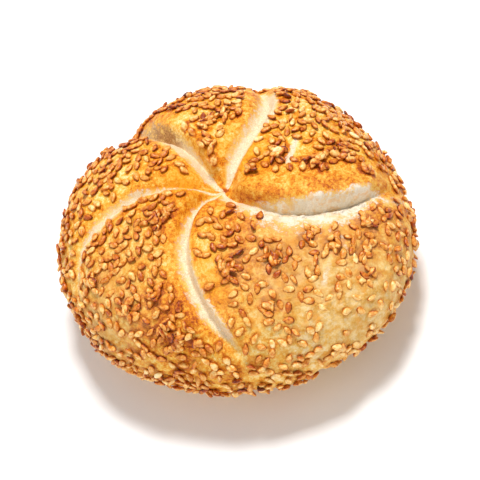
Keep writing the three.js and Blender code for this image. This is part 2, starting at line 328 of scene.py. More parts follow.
# Colours as they look on a screen, from 0 to 255. The first two lists are scales with places
# from 0 to 1, and the pairs are blended by a cloud.
BAKING_COLOURS = (
    (0.0, (252, 232, 186)), (0.2, (245, 208, 122)), (0.42, (238, 178, 60)),
    (0.68, (224, 130, 4)), (0.9, (186, 80, 0)), (1.0, (156, 60, 0)),
)
SEED_COLOURS = (
    (0.0, (254, 234, 180)), (0.26, (246, 202, 124)), (0.46, (229, 157, 64)),
    (0.64, (203, 112, 20)), (0.84, (162, 60, 0)), (1.0, (104, 38, 0)),
)
WHEAT_COLOURS = ((228, 190, 128), (204, 148, 70))
SMUDGE_COLOUR = (228, 156, 62)
AMBER_COLOUR = (244, 160, 14)
CRUMB_COLOURS = ((220, 192, 152), (250, 234, 206))
CLOUDY_COLOUR = (236, 212, 172)
# Whiter torn crumb: partly its own colour and partly painted light on the torn wall, which the
# lamps leave in shade
TORN_WHITE_AND_LIGHT_COLOUR = (250, 246, 234)
STAINED_COLOUR = (240, 184, 96)
STRAND_COLOUR = (206, 190, 158)
# Browns of the painted shade on one groove's wall, blended by a grain
WALL_SHADE_COLOURS = ((154, 100, 48), (214, 164, 104))
PORE_COLOUR = (176, 150, 116)

# Camera, as the roll is seen: from above the front, with the horizon turned
CAMERA_ELEVATION = 52
CAMERA_ROLL = -19.1
CAMERA_DISTANCE = 0.6
CAMERA_TARGET = (0.00193, -0.00261, 0.024)
FOCAL_PIXELS = 2060
PICTURE_PIXELS = 480
SENSOR_WIDTH = 36
CAMERA_CLIP = 0.01

# Floor: half its side and its drop below the foot, in millimetres
FLOOR_REACH = 1500
FLOOR_DROP = 0.05

# Light: strength of the pale room, then each lamp's place and size in metres and its watts
ROOM_LIGHT = 0.44
LAMPS = {
    "overhead": ((0.14, 0.24, 0.95), 0.24, 9.75),
    "low_front": ((0.0, -0.7, 0.16), 0.5, 1.7),
    "left_side": ((-0.75, -0.1, 0.35), 0.5, 1.4),
}

# The point that the lamps face, and a direction that none faces along, to square their sides
LAMP_AIM = (0, 0, 0.03)
LAMP_GUIDE = (0, 1, 0.01)


def ease(start, end, value):
    """Rises smoothly from 0 at start to 1 at end: 3t^2 - 2t^3 of the share t of the way."""
    t = np.clip((value - start) / (end - start), 0, 1)
    return t * t * (3 - 2 * t)


def profile(polar):
    """Plain profile at polar angles: share of the radius and height, on a superellipse."""
    on_top = polar <= math.pi / 2
    power = np.where(on_top, TOP_SQUARENESS, UNDER_SQUARENESS)
    reach = np.where(on_top, PLAIN_HEIGHT - WIDEST_HEIGHT, UNDER_DEPTH)
    along = np.cos(polar)
    across = np.abs(np.sin(polar))
    scale = (np.abs(along) ** power + across**power) ** (-1 / power)
    return across * scale, WIDEST_HEIGHT + reach * along * scale


def foot_angle():
    """Polar angle at which the plain profile reaches the foot."""
    down = WIDEST_HEIGHT / UNDER_DEPTH
    out = (1 - down**UNDER_SQUARENESS) ** (1 / UNDER_SQUARENESS)
    return math.pi - math.atan2(out, down)


def groove_azimuth(groove, radius):
    """Azimuth of a groove: start + lean * r + curl * past^2 + hook * exp(-r / reach)."""
    past = np.maximum(radius - CURL_FROM, 0)
    swirl = groove["lean"] * radius + groove["curl"] * past**2
    return (groove["start"] + swirl + groove["hook"] * np.exp(-radius / HOOK_RADIUS)) * DEGREE


def groove_lines(polar):
    """Azimuth of each groove at polar angles, and the cosine of its slant there."""
    held = np.minimum(polar, LAST_SWIRL)
    share, height = profile(held)
    next_share, next_height = profile(held + SLOPE_STEP)
    radius = share * PLAIN_RADIUS
    next_radius = next_share * PLAIN_RADIUS
    way = np.hypot(next_radius - radius, next_height - height)
    azimuths = np.stack([groove_azimuth(groove, radius) for groove in GROOVES], axis=-1)
    following = np.stack([groove_azimuth(groove, next_radius) for groove in GROOVES], axis=-1)
    slope = (following - azimuths) * (radius / way)[..., None]
    slope = np.where((polar < LAST_SWIRL)[..., None], slope, 0)
    return azimuths, 1 / np.sqrt(1 + slope**2)


def petal_coordinate(azimuths, azimuth):
    """Petal number plus the share of the way across it, counter-clockwise."""
    first = azimuths[..., 0]
    turned = azimuth - FULL_TURN * np.floor((azimuth - first) / FULL_TURN)
    petal = (turned[..., None] >= azimuths[..., 1:]).sum(axis=-1)
    ends = np.concatenate([azimuths, first[..., None] + FULL_TURN], axis=-1)
    start = np.take_along_axis(ends, petal[..., None], axis=-1)[..., 0]
    end = np.take_along_axis(ends, petal[..., None] + 1, axis=-1)[..., 0]
    return petal + (turned - start) / (end - start)


def azimuth_of(azimuths, coordinate):
    """Azimuth at petal coordinates: a straight share between the grooves on either side."""
    petal = np.minimum(np.floor(coordinate), len(GROOVES) - 1).astype(int)
    ends = np.concatenate([azimuths, azimuths[..., :1] + FULL_TURN], axis=-1)
    start = np.take_along_axis(ends, petal[..., None], axis=-1)[..., 0]
    end = np.take_along_axis(ends, petal[..., None] + 1, axis=-1)[..., 0]
    return start + (end - start) * (coordinate - petal)


def groove_distances(lines, azimuth, radius):
    """Signed distance from each groove, counter-clockwise positive: turn * radius * cosine."""
    azimuths, square = lines
    turn = azimuth[..., None] - azimuths
    return (turn - FULL_TURN * np.round(turn / FULL_TURN)) * radius[..., None] * square


def either_side(pair, distance):
    """The clockwise value where the distance is negative, else the counter-clockwise one."""
    return np.where(distance > 0, pair[1], pair[0])


def petal_spread(coordinate):
    """Sum over the petals of spread * (1 + cos(pi * away)) / 2 within one petal's width."""
    count = len(PETAL_SPREAD)
    total = np.zeros_like(coordinate)
    for petal, spread in enumerate(PETAL_SPREAD):
        away = (coordinate - petal - 0.5 + 1.5 * count) % count - count / 2
        total += np.where(np.abs(away) < 1, spread * (0.5 + 0.5 * np.cos(math.pi * away)), 0)
    return total


def groove_relief(groove, distance, polar):
    """Height beside a groove, at a distance d from it: the rim's lift minus the cut.

    Lift is rim * (1 - exp(-(d / run)^2)) * exp(-(d / reach)^2) and the cut is
    depth * exp(-(d / run)^floor). Outwards the wall widens, deepens and ends.
    """
    outwards = ease(*GROOVE_WIDENS, polar)
    run = either_side(groove["run"], distance)
    run = run * (1 + either_side(groove["widen"], distance) * outwards)
    rim = either_side(groove["rim"], distance) * (1 - min(groove["deepen"] * 2, 1) * outwards)
    end = groove["end"]
    fade = 1 - ease(end - GROOVE_FADES_BEFORE, end + GROOVE_FADES_BEYOND, polar)
    depth = groove["depth"] * fade * (1 + groove["deepen"] * ease(*GROOVE_DEEPENS, polar))
    away = np.abs(distance)
    cut = np.exp(-((away / run) ** groove["floor"]))
    lift = rim * fade * (1 - np.exp(-((away / run) ** 2))) * np.exp(-((away / RIM_REACH) ** 2))
    return ease(*GROOVE_COMES, polar) * (lift - depth * cut)


def crust(polar, coordinate, extra=None):
    """Points of the crust, in millimetres, with the distances from the grooves.

    The plain profile is turned about the pinch with an oval, spread radius, and pushed along
    its normal by the petals' domes, the grooves, the pinch and any extra relief.
    """
    lines = groove_lines(polar)
    azimuth = azimuth_of(lines[0], coordinate)
    share, height = profile(polar)
    next_share, next_height = profile(polar + SLOPE_STEP)
    oval = OVALNESS * np.cos(2 * (azimuth - OVAL_AZIMUTH))
    spread = petal_spread(coordinate) * np.sin(polar) ** 2
    radius = (PLAIN_RADIUS + spread + oval) * share
    distances = groove_distances(lines, azimuth, radius)

    across = np.abs(np.sin(math.pi * (coordinate - np.floor(coordinate))))
    relief = PETAL_DOME * across**PETAL_ROUNDNESS
    relief = relief * ease(*DOME_COMES, polar) * (1 - ease(*DOME_GOES, polar))
    relief -= PETAL_DOME * TOP_SINK * (1 - ease(*TOP_SINK_GOES, polar))
    for index, groove in enumerate(GROOVES):
        relief += groove_relief(groove, distances[..., index], polar)
    relief -= PINCH_DEPTH * np.exp(-((radius / PINCH_RADIUS) ** 2))
    if extra is not None:
        relief += extra(polar, azimuth, radius, height, distances)

    outward = (next_share - share) * PLAIN_RADIUS
    upward = next_height - height
    way = np.hypot(outward, upward)
    reach = radius - relief * upward / way
    shift = np.cos(polar) ** 2
    on_top = polar < math.pi / 2
    x = PINCH[0] + reach * np.cos(azimuth) + np.where(on_top, PINCH_SHIFT[0], -PINCH[0]) * shift
    y = PINCH[1] + reach * np.sin(azimuth) + np.where(on_top, PINCH_SHIFT[1], -PINCH[1]) * shift
    z = np.maximum(height + relief * outward / way, 0)
    return np.stack([x, y, z], axis=-1), distances


def soft_waves(points, wavelength, seed):
    """Smooth noise from about -1 to 1: a sum of sine waves with drawn directions and phases."""
    draws = np.random.default_rng(seed)
    directions = draws.normal(size=(WAVE_COUNT, points.shape[-1]))
    directions /= np.linalg.norm(directions, axis=1, keepdims=True)
    lengths = wavelength * draws.uniform(*WAVE_LENGTHS, WAVE_COUNT)
    phases = draws.uniform(0, FULL_TURN, WAVE_COUNT)
    turns = points @ (directions * (FULL_TURN / lengths)[:, None]).T + phases
    return np.sin(turns).sum(axis=-1) / math.sqrt(WAVE_COUNT)


def layered(points, layers, start=0.0):
    """Start plus the sum over layers of height * soft waves."""
    waves = (height * soft_waves(points, length, seed) for height, length, seed in layers)
    return sum(waves, start)


def baked_relief(polar, azimuth, radius, height, distances):
    """Small relief of baked dough: lumps and dimples, and torn fibres along the tear's lip."""
    places = np.stack([radius * np.cos(azimuth), radius * np.sin(azimuth), height], axis=-1)
    lumps = ease(*LUMPS_COME, polar) * layered(places, LUMPS) * (1 - ease(*LUMPS_GO, polar))
    along = ease(*LIP_COMES, polar) * (1 - ease(*LIP_GOES, polar))
    lip = np.exp(-(((distances[..., TEAR] - LIP_PLACE) / LIP_REACH) ** 2)) * along
    return lumps + lip * layered(places, FIBRES, FIBRE_RISE)


def banded(groove, name, distance, polar):
    """A groove's value at a polar angle: straight lines between its stations, on either side."""
    sides = [np.interp(polar, STATIONS, values) for values in groove[name]]
    return np.where(distance > 0, sides[1], sides[0])


def groove_pallor(groove, distance, polar):
    """Share of pale crumb beside a groove: pallor * exp(-(distance / width)^crispness).

    The width narrows at the pinch and towards the groove's end, where the share fades out.
    """
    end = groove["end"]
    beyond = end + PALE_ENDS_BEYOND
    away = np.abs(distance) / banded(groove, "pale", distance, polar)
    away = away / (PALE_AT_PINCH + (1 - PALE_AT_PINCH) * ease(*PALE_WIDENS, polar))
    away = away / (1 + PALE_LEAST_WIDTH - ease(end - PALE_TAPERS_BEFORE, beyond, polar))
    along = 1 - ease(end - PALE_FADES_BEFORE, beyond, polar)
    fading = np.exp(-(away ** either_side(groove["crisp"], distance)))
    return banded(groove, "pallor", distance, polar) * along * fading


def groove_toast(groove, distance, polar):
    """Share of browning beside a groove: a bell of the way beyond the pale band."""
    beyond = np.maximum(np.abs(distance) - banded(groove, "pale", distance, polar), 0)
    along = 1 - TOAST_FADING * ease(groove["end"] - TOAST_FADES_BEFORE, groove["end"], polar)
    return along * np.exp(-((beyond / either_side(groove["toast"], distance)) ** 2))


def place_on_crust(polar, azimuth):
    """Point of the plain crust at a polar angle and an azimuth."""
    coordinate = petal_coordinate(groove_lines(polar)[0], azimuth)
    return crust(polar, coordinate)[0]


def patched(points, patches):
    """Sum over soft patches of share * exp(-(distance / reach)^2)."""
    total = np.zeros(points.shape[:-1])
    for polar, azimuth, reach, share in patches:
        centre = place_on_crust(np.array([polar]), np.array([azimuth * DEGREE]))[0]
        away = np.linalg.norm(points - centre, axis=-1)
        total += share * np.exp(-((away / reach) ** 2))
    return total


def creased(points):
    """Largest over the creases of share * exp(-(distance to the line between ends / width)^2)."""
    most = np.zeros(points.shape[:-1])
    for first_polar, first_azimuth, last_polar, last_azimuth, width, share in CREASES:
        ends = place_on_crust(
            np.array([first_polar, last_polar]), np.array([first_azimuth, last_azimuth]) * DEGREE
        )
        line = ends[1] - ends[0]
        part = np.clip((points - ends[0]) @ line / (line @ line), 0, 1)
        away = np.linalg.norm(points - ends[0] - part[..., None] * line, axis=-1)
        most = np.maximum(most, share * np.exp(-((away / width) ** 2)))
    return most


def fill_mesh(name, points, faces):
    """Makes a smooth mesh object from points in millimetres and faces of point numbers."""
    mesh = bpy.data.meshes.new(name)
    mesh.from_pydata((np.asarray(points, dtype=float) * MM).tolist(), [], faces)
    mesh.polygons.foreach_set("use_smooth", np.full(len(mesh.polygons), True))
    mesh.update()
    piece = bpy.data.objects.new(name, mesh)
    bpy.context.scene.collection.objects.link(piece)
    return piece


def write_share(piece, name, values):
    """Stores one number for each point of the mesh, for its material to read."""
    layer = piece.data.attributes.new(name, "FLOAT", "POINT")
    layer.data.foreach_set("value", np.asarray(values, dtype=np.float32).ravel())


def crust_rows():
    """Polar angles of the rows: closest over the pinch, then even down to the foot."""
    top = np.arange(1, TOP_ROWS + 1) / TOP_ROWS
    side = np.arange(1, SIDE_ROWS + 1) / SIDE_ROWS
    low = LAST_SWIRL + (foot_angle() - LAST_SWIRL) * side
    high = LAST_SWIRL * (ROW_EVENNESS * top + (1 - ROW_EVENNESS) * top**2)
    return np.concatenate([high, low])


def crust_columns():
    """Petal coordinates of the columns: t - b * sin(2 pi t) / (2 pi), bunched at the grooves."""
    t = np.arange(PETAL_COLUMNS) / PETAL_COLUMNS
    t = t - COLUMN_BUNCHING * np.sin(FULL_TURN * t) / FULL_TURN
    return (np.arange(len(GROOVES))[:, None] + t).ravel()


def nearest_seed(points, seeds):
    """For each point, the nearest seed's number and how far away it is.

    The way is in half-sizes along and across the seed, and in seed lengths outwards.
    """
    number = np.zeros(len(points), dtype=int)
    gap = np.zeros(len(points))
    axes = [
        seeds["along"] / (seeds["length"] / 2)[:, None],
        seeds["across"] / (seeds["width"] / 2)[:, None],
        seeds["outward"] / SEED_LENGTH,
    ]
    offsets = [(axis * seeds["middle"]).sum(axis=1) for axis in axes]
    block = 6000
    for start in range(0, len(points), block):
        some = points[start : start + block]
        squares = sum((some @ axis.T - offset) ** 2 for axis, offset in zip(axes, offsets))
        number[start : start + block] = squares.argmin(axis=1)
        gap[start : start + block] = np.sqrt(squares.min(axis=1))
    return number, gap


def crust_shares(points, polar, distances, gap, piled):
    """What the crust's material reads: each name's values, and those at the pinch and foot.

    Pale is bare crumb and bake the browning: the plain crust's, more in the bands beside the
    grooves, round the seeds, where it is partly painted contact shade, in the browner patches
    and as painted shade at the pinch, less in the pale places.
    """
    sides = [distances[..., number] for number in range(len(GROOVES))]
    shares = [groove_pallor(groove, side, polar) for groove, side in zip(GROOVES, sides)]
    pale = np.maximum(np.max(shares, axis=0), creased(points)) * ease(*PALE_COMES, polar)
    toasts = [groove_toast(groove, side, polar) for groove, side in zip(GROOVES, sides)]
    toast = np.max(toasts, axis=0)
    # Partly a brown stain and partly painted contact shade round each seed, more in the gaps of a
    # heap
    stain_and_shade = np.exp(-((np.maximum(gap - 1, 0) / STAIN_AND_SHADE_REACH) ** 2)) * (1 + HEAP_STAIN_AND_SHADE * piled)
    bake = PLAIN_BAKE + TOAST_BAKE * toast + STAIN_AND_SHADE_BAKE * stain_and_shade + PALE_BAKE * pale
    bake += BROWNER_BAKE * patched(points, BROWNER_PATCHES)
    bake += PALER_BAKE * patched(points, PALER_PATCHES)
    bake += UNDERSIDE_BAKE * ease(*UNDERSIDE_COMES, polar)
    # Painted shade: the crust right at the pinch is darkened
    bake += PINCH_SHADE_BAKE * (1 - ease(*PINCH_SHADE_GOES, polar))
    # Painted shade: the clockwise wall of one groove is darkened, less so further out
    wall = distances[..., PAINTED_SHADE_WALL]
    wall_shade = np.where(wall < 0, 1, 0) * ease(*WALL_SHADE_COMES, polar)
    wall_shade *= np.exp(-((wall / WALL_SHADE_REACH) ** 4)) * (1 - WALL_SHADE_EASING * ease(*WALL_SHADE_EASES, polar))
    torn = ease(*TORN_COMES, polar) * (1 - ease(*TORN_GOES, polar))
    torn *= np.exp(-((distances[..., TEAR] / TORN_REACH) ** 4))
    nearest = np.abs(distances).argmin(axis=-1)[..., None]
    across = np.take_along_axis(distances, nearest, axis=-1)[..., 0]
    way = PLAIN_RADIUS * polar
    return {
        "pale": (pale, (0, 0)),
        "bake": (bake, (1, 0.5)),
        "wall_shade": (wall_shade, (0, 0)),
        "torn": (torn, (0, 0)),
        "wheat": (patched(points, WHEAT_PATCHES), (0, 0)),
        "golden": (patched(points, GOLDEN_PATCHES), (0, 0)),
        "across": (across, (0, 0)),
        "way": (way, (0, way.max())),
    }


def make_crust(seeds):
    """The whole crust: a grid of rows and columns, closed by a fan at the pinch and the foot.

    Dough swells by bed * exp(-((gap - bed gap) / bed reach)^2) round each seed, gap being
    the way from its middle in half-sizes.
    """
    rows = crust_rows()
    columns = crust_columns()
    polar, coordinate = np.meshgrid(rows, columns, indexing="ij")
    points, distances = crust(polar, coordinate, baked_relief)
    flat = points.reshape(-1, 3)
    number, gap = nearest_seed(flat, seeds)
    swelling = seeds["bed"][number] * np.exp(-(((gap - BED_GAP) / BED_REACH) ** 2))
    points = (flat + seeds["outward"][number] * swelling[:, None]).reshape(points.shape)
    points[..., 2] = np.maximum(points[..., 2], 0)
    points[-1, :, 2] = 0

    count = len(columns)
    index = np.arange(len(rows) * count).reshape(len(rows), count)
    beside = np.roll(index, -1, axis=1)
    quads = np.stack([index[:-1], index[1:], beside[1:], beside[:-1]], axis=-1).reshape(-1, 4)
    top = index.size
    bottom = top + 1
    fan_top = np.stack([np.full(count, top), index[0], beside[0]], axis=-1)
    fan_foot = np.stack([np.full(count, bottom), beside[-1], index[-1]], axis=-1)
    peak, _ = crust(np.array([SLOPE_STEP]), np.array([0.0]))
    everything = np.concatenate([points.reshape(-1, 3), peak, [[0, 0, 0]]])
    piece = fill_mesh("crust", everything, quads.tolist() + fan_top.tolist() + fan_foot.tolist())

    gap = gap.reshape(polar.shape)
    piled = seeds["piled"][number].reshape(polar.shape)
    for name, (values, ends) in crust_shares(points, polar, distances, gap, piled).items():
        write_share(piece, name, np.append(values.ravel(), ends))
    return piece


def drawn(start, count):
    """Seeded draws from 0 to 1: a 32-bit linear congruence, the same stream as the solid's."""
    values = []
    state = start
    for _ in range(count):
        state = (state * DRAW_FACTOR + DRAW_STEP) % DRAW_RANGE
        values.append(state / DRAW_RANGE)
    return np.array(values)


def seed_chance(polar, azimuth):
    """Chance of a seed: none in the bare places, less where the crust is sparse or underneath."""
    share, _ = profile(polar)
    radius = share * PLAIN_RADIUS
    distances = groove_distances(groove_lines(polar), azimuth, radius)
    outwards = 1 - BARE_NARROWING * ease(*BARE_NARROWS, polar)
    bare = (radius < BARE_CENTRE) & (polar < BARE_CENTRE_END)
    for number, groove in enumerate(GROOVES):
        away = distances[..., number]
        width = either_side(groove["bare"], away) * outwards
        bare |= (np.abs(away) < width) & (polar < groove["end"] + BARE_BEYOND_END)
    flatness = (PLAIN_HEIGHT - WIDEST_HEIGHT) / PLAIN_RADIUS
    area = np.hypot(np.cos(polar), flatness * np.sin(polar))
    facing = np.maximum(np.cos(azimuth - SPARSE_AZIMUTH), 0) ** 2 * ease(*SPARSE_COMES, polar)
    above = 1 - ease(UNDERSIDE_STARTS, LOWEST_SEED_ANGLE, polar)
    return np.where(bare, 0, area * (1 - SPARSE_SHARE * facing) * above)


def bare_share(points, polar, azimuth):
    """How much the small seeds are missing: over sparse patches, creases and pale grooves."""
    share, _ = profile(polar)
    distances = groove_distances(groove_lines(polar), azimuth, share * PLAIN_RADIUS)
    total = patched(points, SPARSE_PATCHES) + creased(points)
    for number, groove in enumerate(GROOVES):
        total += groove_pallor(groove, distances[..., number], polar)
    return np.minimum(total, 1)


def seed_candidates(first_draw, tries, sparser):
    """Drawn places that pass the chance: polar angle, petal coordinate, turn and point."""
    draws = drawn(first_draw, 4 * tries).reshape(tries, 4)
    azimuth = FULL_TURN * draws[:, 0]
    polar = np.arccos(1 - (1 - math.cos(LOWEST_SEED_ANGLE)) * draws[:, 1])
    chance = seed_chance(polar, azimuth)
    if sparser:
        chance = chance * (1 - bare_share(place_on_crust(polar, azimuth), polar, azimuth))
    kept = draws[:, 2] < chance
    azimuth, polar, turn = azimuth[kept], polar[kept], FULL_TURN * draws[kept, 3]
    coordinate = petal_coordinate(groove_lines(polar)[0], azimuth)
    points, _ = crust(polar, coordinate)
    return polar, coordinate, turn, points


def spaced(points, placed, spacing, most):
    """Numbers of the points that keep their spacing from all placed before them."""
    chosen = []
    placed = list(placed)
    for number, point in enumerate(points):
        if len(chosen) == most:
            break
        if not placed or np.min(np.linalg.norm(np.array(placed) - point, axis=1)) >= spacing:
            placed.append(point)
            chosen.append(number)
    return chosen


def piled_seeds(draws):
    """Heaped seeds: a bell of places round each pile's middle, higher towards it."""
    polars, azimuths, lifts = [], [], []
    for polar, azimuth, reach, count in SEED_PILES:
        share, _ = profile(np.array([polar]))
        step = draws.normal(0, reach * HEAP_SPREAD, (count, 2))
        polars.append(polar + step[:, 0] / PLAIN_RADIUS)
        azimuths.append(azimuth * DEGREE + step[:, 1] / (share * PLAIN_RADIUS))
        away = np.linalg.norm(step, axis=1) / reach
        lifts.append(draws.uniform(*HEAP_LIFTS, count) * np.exp(-(away**2)))
    polar, azimuth = np.concatenate(polars), np.concatenate(azimuths)
    return polar, petal_coordinate(groove_lines(polar)[0], azimuth), np.concatenate(lifts)


def seed_places(draws):
    """All seeds: the large ones of the solid, the smaller between them, then the piles."""
    polar, coordinate, turn, points = seed_candidates(FIRST_DRAW, LARGE_TRIES, False)
    large = spaced(points, [], LARGE_SPACING, LARGE_SEEDS)
    more = seed_candidates(SECOND_DRAW, SMALL_TRIES, True)
    small = spaced(more[3], points[large], SMALL_SPACING, SMALL_SEEDS)
    pile_polar, pile_coordinate, pile_lift = piled_seeds(draws)
    pile_turn = draws.uniform(0, FULL_TURN, len(pile_polar))
    flat = np.zeros(len(large) + len(small))
    return dict(
        polar=np.concatenate([polar[large], more[0][small], pile_polar]),
        coordinate=np.concatenate([coordinate[large], more[1][small], pile_coordinate]),
        turn=np.concatenate([turn[large], more[2][small], pile_turn]),
        heap=np.concatenate([flat, pile_lift]),
        piled=np.concatenate([flat, np.ones(len(pile_polar))]),
        large=np.arange(len(flat) + len(pile_polar)) < len(large),
    )


def tilt_spread(spread, piled, low):
    """Spread of a drawn tilt: a plain one, more in a heap and more low on the roll."""
    return spread["plain"] + spread["heaped"] * piled + spread["low"] * low


def seed_tones(seeds, middle, draws):
    """Tone of each seed: paler on the sides and in pale patches, paler still lowest down as
    painted light, darker low in heaps and paler on their tops as painted shade and light, drawn,
    with a few odd ones.
    """
    polar, piled = seeds["polar"], seeds["piled"]
    # Paler on the sides, where they bake less, and paler still at the bottom as painted light
    tone = PLAIN_TONE + SIDE_TONE * ease(*SIDE_COMES, polar) + PAINTED_LIGHT_LOW_TONE * ease(*PAINTED_LIGHT_LOW_COMES, polar)
    tone += draws.normal(0, TONE_SPREAD, len(polar))
    tone += BROWNER_TONE * patched(middle, BROWNER_PATCHES)
    tone += PALER_TONE * patched(middle, PALER_PATCHES)
    # Painted shade low in each heap and painted light on its top
    tone += piled * (HEAP_SHADE_TONE + HEAP_TOP_LIGHT_TONE * seeds["heap"])
    odd = draws.uniform(0, 1, len(polar))
    tone = np.where(odd > ODD_DARK[0], ODD_DARK[1], np.clip(tone, *TONE_RANGE))
    return np.where(odd < ODD_PALE[0], ODD_PALE[1], tone)


def lay_seeds():
    """Size, place and axes of each seed: outward is the crust's normal, tilted and rolled."""
    draws = np.random.default_rng(LAYING_DRAW)
    seeds = seed_places(draws)
    polar, coordinate, turn = seeds["polar"], seeds["coordinate"], seeds["turn"]
    piled = seeds["piled"]
    count = len(polar)
    middle, _ = crust(polar, coordinate, baked_relief)
    down, _ = crust(polar + SEED_SLOPE_STEP, coordinate, baked_relief)
    next_coordinate = (coordinate + SEED_SLOPE_STEP) % len(GROOVES)
    beside, _ = crust(polar, next_coordinate, baked_relief)
    outward = np.cross(down - middle, beside - middle)
    outward /= np.linalg.norm(outward, axis=1, keepdims=True)
    level = np.column_stack([-outward[:, 1], outward[:, 0], np.zeros(count)])
    level /= np.linalg.norm(level, axis=1, keepdims=True)
    beyond = np.cross(outward, level)
    along = level * np.cos(turn)[:, None] + beyond * np.sin(turn)[:, None]
    across = np.cross(outward, along)

    on_edge = (draws.uniform(0, 1, count) < ON_EDGE_SHARE) & ~seeds["large"]
    low = ease(*LOW_SEEDS_COME, polar)
    roll = draws.normal(0, tilt_spread(ROLL_SPREAD, piled, low), count)
    edges = draws.choice([-ON_EDGE_TILT, ON_EDGE_TILT], count)
    roll = np.where(on_edge, edges, roll)[:, None]
    pitch = draws.normal(0, tilt_spread(PITCH_SPREAD, piled, low), count)[:, None]
    tilted = outward * np.cos(roll) + across * np.sin(roll)
    across = across * np.cos(roll) - outward * np.sin(roll)
    raised = along * np.cos(pitch) + tilted * np.sin(pitch)
    tilted = tilted * np.cos(pitch) - along * np.sin(pitch)

    size = np.where(seeds["large"], LARGE_SIZE, draws.uniform(*SMALL_SIZE_DRAWS, count))
    sunk = patched(middle, SUNK_PATCHES)
    lift = SEED_LIFT + draws.normal(*LIFT_DRAWS, count) + LOOSE_LIFT * on_edge + LOOSE_LIFT * low
    lift = lift + seeds["heap"] - SINKING * sunk * draws.uniform(*SINK_DRAWS, count)
    seeds.update(
        outward=tilted, along=raised, across=across, size=size,
        length=SEED_LENGTH * size,
        width=SEED_WIDTH * size * draws.uniform(*WIDTH_DRAWS, count),
        middle=middle + outward * lift[:, None],
        bed=(PLAIN_BED + SUNK_BED * sunk) * (1 - piled),
    )
    seeds["tone"] = seed_tones(seeds, middle, draws)
    return seeds


def seed_template():
    """One seed of unit size: rings of a teardrop, with the share of the darker rim colour, partly
    painted shade along its edge.

    Its outline is cos a along and sin a * |sin a|^bluntness * (1 - taper * cos a) across.
    A ring's height falls by keel * |sin a| away from the ridge along the middle.
    """
    around = np.arange(SEED_CORNERS) / SEED_CORNERS * FULL_TURN
    width = np.sin(around) * np.abs(np.sin(around)) ** SEED_BLUNTNESS
    outline = np.stack([np.cos(around), width * (1 - SEED_TAPER * np.cos(around))], axis=-1)
    keel = SEED_KEEL * np.abs(np.sin(around))
    rings = [
        np.column_stack([outline * share, level - keel * share]) for share, level, _ in SEED_LEVELS
    ]
    points = np.concatenate([[[0, 0, 0.5]], *rings, [[0, 0, -0.5]]])
    ring = 1 + np.arange(len(rings) * SEED_CORNERS).reshape(-1, SEED_CORNERS)
    beside = np.roll(ring, -1, axis=1)
    faces = np.column_stack([np.zeros(SEED_CORNERS, int), ring[0], beside[0]]).tolist()
    for inner in range(len(rings) - 1):
        band = [ring[inner], ring[inner + 1], beside[inner + 1], beside[inner]]
        faces += np.column_stack(band).tolist()
    base = np.full(SEED_CORNERS, len(points) - 1)
    faces += np.column_stack([base, beside[-1], ring[-1]]).tolist()
    rim_shades = np.repeat([rim for _, _, rim in SEED_LEVELS], SEED_CORNERS)
    return points, faces, np.concatenate([[0], rim_shades, [1]])


def stretched(shares, axis, lengths):
    """Each unit point's share of each seed's own axis of a given length."""
    return shares[None, :, None] * (axis * lengths[:, None])[:, None]


def make_seeds(seeds):
    """All seeds in one mesh: the unit seed stretched, turned and laid in its place."""
    unit, faces, rim = seed_template()
    count = len(seeds["polar"])
    points = seeds["middle"][:, None] + stretched(unit[:, 0], seeds["along"], seeds["length"] / 2)
    points += stretched(unit[:, 1], seeds["across"], seeds["width"] / 2)
    points += stretched(unit[:, 2], seeds["outward"], SEED_THICKNESS * seeds["size"])
    points = points.reshape(-1, 3)
    points[:, 2] = np.maximum(points[:, 2], SEED_CLEARANCE)
    shift = len(unit)
    all_faces = [
        [corner + shift * seed for corner in face] for seed in range(count) for face in faces
    ]
    piece = fill_mesh("sesame_seeds", points, all_faces)
    # The rim share darkens each seed's edge, partly as painted shade
    write_share(piece, "rim", np.tile(rim, count))
    write_share(piece, "tone", np.repeat(seeds["tone"], shift))
    return piece


